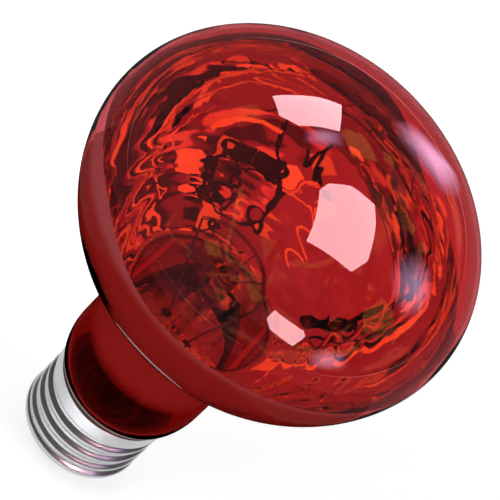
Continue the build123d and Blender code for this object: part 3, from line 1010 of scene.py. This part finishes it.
class Mirror:
    """The coated faces, to follow a line of sight through the bulb."""

    def __init__(self, bulb):
        mesh = bulb.data
        self.places = [v.co.copy() for v in mesh.vertices]
        self.normals = [v.normal.copy() for v in mesh.vertices]
        self.faces = [tuple(p.vertices) for p in mesh.polygons if p.material_index == COATED]
        self.tree = BVHTree.FromPolygons(self.places, self.faces)

    def thrown_out(self, point, ray):
        """Where a line of sight last meets the coating, and the direction in which it leaves."""
        for _ in range(BOUNCES):
            hit, _, index, _ = self.tree.ray_cast(point + ray * CLEAR, ray)
            if hit is None:
                break
            corners = self.faces[index]
            shares = poly_3d_calc([self.places[c] for c in corners], hit)
            normal = sum((self.normals[c] * s for c, s in zip(corners, shares)), Vector()).normalized()
            ray = ray - 2 * ray.dot(normal) * normal
            point = hit
        return point, ray


def glow_material(name, shade, strength):
    """Lit cloth of a softbox or a flag; the glow attribute fades it out towards its edge."""
    material, tree, _ = start_material(name)
    glow = add(tree, "ShaderNodeAttribute", attribute_name="glow")
    light = add(tree, "ShaderNodeEmission", {"Color": shade, "Strength": strength})
    open_air = add(tree, "ShaderNodeBsdfTransparent")
    shader = add(
        tree,
        "ShaderNodeMixShader",
        {0: glow.outputs["Fac"], 1: open_air.outputs[0], 2: light.outputs[0]},
    )
    end_material(tree, shader)
    return material


def seen_by(obj, kind):
    """Shows an object of the studio to one kind of ray only."""
    for ray in ("camera", "diffuse", "glossy", "transmission", "volume_scatter", "shadow"):
        setattr(obj, "visible_" + ray, ray == kind)


def lit_object(name, verts, faces, glow, shade, strength, kind):
    """A lit object of the studio that only one kind of ray sees; glow says how solid it is at each corner."""
    obj = new_object(name, verts, faces, [glow_material(name, shade, strength)])
    obj.data.attributes.new("glow", "FLOAT", "POINT").data.foreach_set("value", glow)
    seen_by(obj, kind)
    return obj


def card(name, corners, shade, strength, kind):
    """A flat lit card with these corners."""
    faces = [tuple(range(len(corners)))]
    return lit_object(name, corners, faces, [1.0] * len(corners), shade, strength, kind)


def soft_card(name, corners, shade, strength, kind):
    """A flat lit card that fades out from its middle to its corners."""
    middle = sum(corners, Vector()) / len(corners)
    verts = [middle]
    glow = [1.0]
    for share in FADE_SHARES:
        for corner in corners:
            verts.append(middle + (corner - middle) * share)
            glow.append((1 - share * share) ** 2)
    faces = fan(len(corners), len(FADE_SHARES))
    return lit_object(name, verts, faces, glow, shade, strength, kind)


def fan(count, rings):
    """Faces round a middle vertex, out through rings of count vertices."""
    faces = [(0, 1 + k, 1 + (k + 1) % count) for k in range(count)]
    for ring in range(rings - 1):
        a = 1 + ring * count
        b = a + count
        for k in range(count):
            n = (k + 1) % count
            faces.append((a + k, b + k, b + n, a + n))
    return faces


def lamp(name, place, power):
    """A soft square light, aimed at the middle of the bulb's height, that metal and glass don't show."""
    data = bpy.data.lights.new(name, "AREA")
    data.shape = "SQUARE"
    data.size = LAMP_SIZE
    data.energy = power
    obj = bpy.data.objects.new(name, data)
    obj.location = place
    obj.rotation_euler = (Vector(LAMP_AIM) - Vector(place)).to_track_quat("-Z", "Y").to_euler()
    bpy.context.scene.collection.objects.link(obj)
    obj.visible_glossy = False
    obj.visible_transmission = False


def seen_factor(tree):
    """1 for the camera and for what metal and glass show, 0 for light on dull surfaces."""
    path = add(tree, "ShaderNodeLightPath").outputs
    seen = path["Is Camera Ray"]
    for kind in ("Is Glossy Ray", "Is Transmission Ray"):
        seen = add(tree, "ShaderNodeMath", {0: seen, 1: path[kind]}, operation="MAXIMUM").outputs[0]
    return seen


class HEATLAMP_OT_studio(bpy.types.Operator):
    """Camera, pale floor, soft lamps, softbox panes and background"""

    bl_idname = "heatlamp.studio"
    bl_label = "Studio"

    def execute(self, context):
        scene = context.scene
        studio = scene.heat_studio
        look = Look(scene)
        self.camera(scene, look)
        for name, pixels in PANES.items():
            corners = self.pane_corners(look, pixels)
            card(name, corners, (*studio.pane, 1.0), studio.pane_strength, "glossy")
        for name, pixels in GLOWS.items():
            corners = self.pane_corners(look, pixels)
            soft_card(name, corners, (*studio.glow, 1.0), studio.glow_strength, "glossy")
        self.reflections(look, studio)
        for name, settings in ROOMS.items():
            self.room(name, *settings)
        self.floor_cards()
        self.floor(studio)
        self.world(scene, studio)
        lamp("key", KEY_PLACE, studio.key)
        lamp("fill", FILL_PLACE, studio.fill)
        scene.view_settings.view_transform = "Standard"
        return {"FINISHED"}

    def camera(self, scene, look):
        """The photograph's camera."""
        data = bpy.data.cameras.new("photo_camera")
        data.sensor_width = SENSOR
        data.lens = look.focal / IMAGE * SENSOR
        data.clip_start, data.clip_end = CLIP
        camera = bpy.data.objects.new("photo_camera", data)
        turn = Matrix((look.right, look.up, look.back)).transposed().to_4x4()
        camera.matrix_world = Matrix.Translation(look.eye) @ turn
        scene.collection.objects.link(camera)
        scene.camera = camera

    def pane_corners(self, look, pixels):
        """Corners of a card that the dome's outer surface throws back at the pixels."""
        corners = []
        for x, y in pixels:
            point, thrown = look.bounce(x, y)
            corners.append(point + thrown * PANE_REACH)
        return corners

    def reflections(self, look, studio):
        """Cards and ribbons that the mirror, the heat shield and the clear rim show."""
        mirror = Mirror(bpy.data.objects["bulb_glass"])
        for name, (shade, strength, away, pixels) in PATCHES.items():
            corners = []
            for pixel in pixels:
                point, thrown = mirror.thrown_out(look.eye, look.ray(*pixel))
                corners.append(point + thrown * away)
            card(name, corners, shade, strength, "transmission")
        for name, (shade, strength, half, pixel) in FLAMES.items():
            self.far_card(name, mirror.thrown_out(look.eye, look.ray(*pixel)), half, shade, strength)
        for name, (shade, strength, half, pixels) in STROKES.items():
            self.ribbon(name, look, mirror, pixels, half, shade, strength)
        for name, (shade, strength, half, place) in SHIELD_SHOWS.items():
            spot = Vector((place[0] * MM, place[1] * MM, studio.shield))
            down = (spot - look.eye).normalized()
            thrown = mirror.thrown_out(spot, Vector((down.x, down.y, -down.z)))
            self.far_card(name, thrown, half, shade, strength)
        for name, (shade, strength, away, pixels) in BEHIND.items():
            corners = [look.eye + look.ray(x, y) * away for x, y in pixels]
            card(name, corners, shade, strength, "transmission")

    def far_card(self, name, leaving, half, shade, strength):
        """A square card that faces the place and direction in which a line of sight leaves the mirror."""
        point, thrown = leaving
        side = thrown.orthogonal() * half
        rise = thrown.cross(side)
        middle = point + thrown * FLAME_REACH
        corners = [middle - side - rise, middle + side - rise, middle + side + rise, middle - side + rise]
        card(name, corners, shade, strength, "transmission")

    def ribbon(self, name, look, mirror, pixels, half, shade, strength):
        """A ribbon that the mirror shows as a line through the pixels."""
        places = []
        for (x0, y0), (x1, y1) in zip(pixels, pixels[1:]):
            count = max(1, round(math.hypot(x1 - x0, y1 - y0) / STROKE_STEP))
            for step in range(count):
                share = step / count
                pixel = (x0 + (x1 - x0) * share, y0 + (y1 - y0) * share)
                point, thrown = mirror.thrown_out(look.eye, look.ray(*pixel))
                places.append((point + thrown * STROKE_REACH, thrown))
        verts = []
        faces = []
        for (first, thrown), (second, _) in zip(places, places[1:]):
            run = second - first
            if not SAME_PLACE < run.length < STROKE_JUMP:
                continue
            side = run.cross(thrown).normalized() * half
            lap = run.normalized() * half / 2
            base = len(verts)
            verts += [first - side - lap, first + side - lap, second + side + lap, second - side + lap]
            faces.append((base, base + 1, base + 2, base + 3))
        if not faces:
            raise RuntimeError(name + " came out empty")
        lit_object(name, verts, faces, [1.0] * len(verts), shade, strength, "transmission")

    def floor_cards(self):
        """Grey cards that lie on the floor, for what metal and glass show of it."""
        cap_only = bpy.data.collections.new("lit_by_cap_card")
        cap_only.objects.link(bpy.data.objects["cap_thread"])
        for name, (half, low, high, height, strength, kind, for_cap) in FLOOR_CARDS.items():
            outline = ((-half, low), (half, low), (half, high), (-half, high))
            corners = [Vector((x, y, height)) for x, y in outline]
            flat = card(name, corners, WHITE, strength, kind)
            if for_cap:
                flat.light_linking.receiver_collection = cap_only

    def room(self, name, radius, dim, bright, clutter, kind):
        """Grey studio walls and ceiling that glass or metal throws back, brighter towards -X -Y.

        Clutter from 0 to 1 adds dark and warm things in front of them on the +X side."""
        rows = []
        for step in range(ROOM_RINGS + 1):
            angle = math.pi / 2 * (1 - step / ROOM_RINGS)
            rows.append((radius * math.cos(angle) if step else 0.0, radius * math.sin(angle)))
        verts, faces, _ = turned([(lambda turn, p=p: p) for p in rows], ROUND, False)
        material, tree, where = start_material("studio_wall")
        side = add(tree, "ShaderNodeVectorMath", {0: where, 1: ROOM_SIDE}, operation="DOT_PRODUCT")
        start, full = ROOM_RANGE
        span = {"Value": side.outputs["Value"], "From Min": start, "From Max": full}
        span |= {"To Min": dim, "To Max": bright}
        level = add(tree, "ShaderNodeMapRange", span, interpolation_type="SMOOTHSTEP")
        across = add(tree, "ShaderNodeSeparateXYZ", {"Vector": where}).outputs["X"]
        start, full = [share * radius for share in CLUTTER_SIDE]
        span = {"Value": across, "From Min": start, "From Max": full, "To Max": clutter}
        there = add(tree, "ShaderNodeMapRange", span).outputs["Result"]
        things = grain(tree, where, CLUTTER_STEP, CLUTTER_DETAIL, CLUTTER_STRETCH)
        full, start = CLUTTER_DARK
        span = {"Value": things, "From Min": full, "From Max": start, "To Min": CLUTTER_SHUT, "To Max": 0.0}
        dark = add(tree, "ShaderNodeMapRange", span).outputs["Result"]
        start, full = CLUTTER_WARM
        warm = add(tree, "ShaderNodeMapRange", {"Value": things, "From Min": start, "From Max": full})
        shut = add(tree, "ShaderNodeMath", {0: dark, 1: there}, operation="MULTIPLY")
        left = add(tree, "ShaderNodeMath", {0: 1.0, 1: shut.outputs[0]}, operation="SUBTRACT")
        walls = {0: level.outputs["Result"], 1: left.outputs[0]}
        grey = add(tree, "ShaderNodeMath", walls, operation="MULTIPLY").outputs[0]
        lamps = {0: warm.outputs["Result"], 1: there}
        lit = add(tree, "ShaderNodeMath", lamps, operation="MULTIPLY").outputs[0]
        hue = add(tree, "ShaderNodeMix", {"Factor": lit, 6: WHITE, 7: ORANGE}, data_type="RGBA")
        power = add(tree, "ShaderNodeMath", {0: lit, 1: CLUTTER_POWER, 2: grey}, operation="MULTIPLY_ADD")
        shader = add(tree, "ShaderNodeEmission", {"Color": hue.outputs[2], "Strength": power.outputs[0]})
        end_material(tree, shader)
        obj = new_object(name, verts, faces, [material])
        seen_by(obj, kind)

    def floor(self, studio):
        """Round sheet of pale paper that reaches past what the camera sees."""
        verts = [(0.0, 0.0, 0.0)]
        for radius in FLOOR_RADII:
            for k in range(ROUND):
                angle = 2 * math.pi * k / ROUND
                verts.append((radius * math.cos(angle), radius * math.sin(angle), 0.0))
        material, tree, _ = start_material("pale_floor")
        paper = (*studio.paper, 1.0)
        dull = add(tree, "ShaderNodeBsdfDiffuse", {"Color": paper})
        lift = add(tree, "ShaderNodeMath", {0: seen_factor(tree), 1: FLOOR_LIFT}, operation="MULTIPLY")
        glow = add(tree, "ShaderNodeEmission", {"Color": paper, "Strength": lift.outputs[0]})
        shader = add(tree, "ShaderNodeAddShader", {0: dull.outputs[0], 1: glow.outputs[0]})
        end_material(tree, shader)
        new_object("floor", verts, fan(ROUND, len(FLOOR_RADII)), [material])

    def world(self, scene, studio):
        """White background that lights dull surfaces less than it shows."""
        world = bpy.data.worlds.new("studio_background")
        scene.world = world
        world.use_nodes = True
        tree = world.node_tree
        tree.nodes.clear()
        span = {"Value": seen_factor(tree), "To Min": WORLD_LIGHT, "To Max": 1.0}
        strength = add(tree, "ShaderNodeMapRange", span).outputs["Result"]
        shade = add(tree, "ShaderNodeBackground", {"Color": (*studio.paper, 1.0), "Strength": strength})
        add(tree, "ShaderNodeOutputWorld", {"Surface": shade.outputs[0]})


class HEATLAMP_PT_panel(bpy.types.Panel):
    """Sizes, colours and steps of the heat lamp"""

    bl_idname = "HEATLAMP_PT_panel"
    bl_label = "Heat Lamp"
    bl_space_type = "VIEW_3D"
    bl_region_type = "UI"
    bl_category = "Heat Lamp"

    def draw(self, context):
        layout = self.layout
        for step in STEPS:
            layout.operator(step.bl_idname)
        for name, group in GROUPS.items():
            box = layout.box()
            settings = getattr(context.scene, name)
            for key in group.__annotations__:
                box.prop(settings, key)


STEPS = (
    HEATLAMP_OT_bulb,
    HEATLAMP_OT_cap,
    HEATLAMP_OT_filament,
    HEATLAMP_OT_inner,
    HEATLAMP_OT_studio,
)


def register():
    """Adds the sizes, the steps and the panel to Blender."""
    for group in GROUPS.values():
        bpy.utils.register_class(group)
    for step in STEPS:
        bpy.utils.register_class(step)
    bpy.utils.register_class(HEATLAMP_PT_panel)
    for name, group in GROUPS.items():
        setattr(bpy.types.Scene, name, PointerProperty(type=group))


def unregister():
    """Takes them out again."""
    for name in GROUPS:
        delattr(bpy.types.Scene, name)
    bpy.utils.unregister_class(HEATLAMP_PT_panel)
    for step in reversed(STEPS):
        bpy.utils.unregister_class(step)
    for group in reversed(list(GROUPS.values())):
        bpy.utils.unregister_class(group)


def main():
    """Builds the lamp and its studio."""
    register()
    bpy.ops.heatlamp.bulb()
    bpy.ops.heatlamp.cap()
    bpy.ops.heatlamp.filament()
    bpy.ops.heatlamp.inner()
    bpy.ops.heatlamp.studio()


if __name__ == "__main__":
    main()
